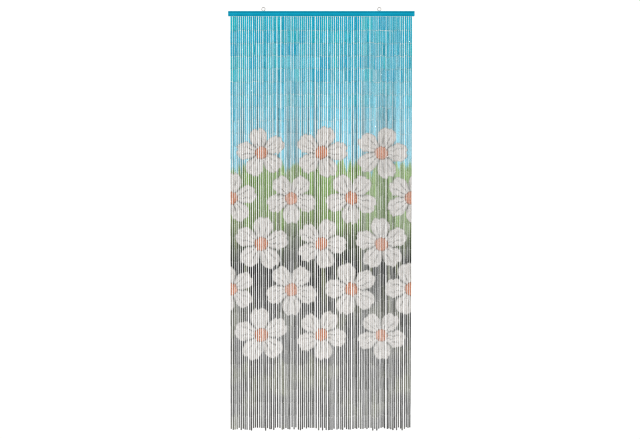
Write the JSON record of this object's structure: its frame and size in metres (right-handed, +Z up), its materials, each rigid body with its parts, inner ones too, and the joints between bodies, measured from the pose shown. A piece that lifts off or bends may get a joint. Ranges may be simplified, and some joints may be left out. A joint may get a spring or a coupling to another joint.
{
  "type": "bamboo bead door curtain with its hanging rail",
  "caption": "Tall door curtain of straight bamboo bead strands hanging side by side from a slim painted wooden rail with wire screw eyes in its top edge.",
  "frame": {"origin": "midway between the centres of the two screw eyes' rings, where the curtain hangs on its hooks", "axes": "+Z up, the strands in a row along X, the curtain's front facing -Y"},
  "size_m": [0.9, 0.012, 2.0453],
  "materials": {
    "rail_paint": "satin turquoise paint on wood",
    "bamboo": "matt coloured coating on split bamboo tube",
    "wire": "dull zinc plating"
  },
  "bodies": {
    "root": {"rail": "rail_paint", "strands": "bamboo", "screw_eye_left": "wire", "screw_eye_right": "wire"}
  },
  "joints": []
}
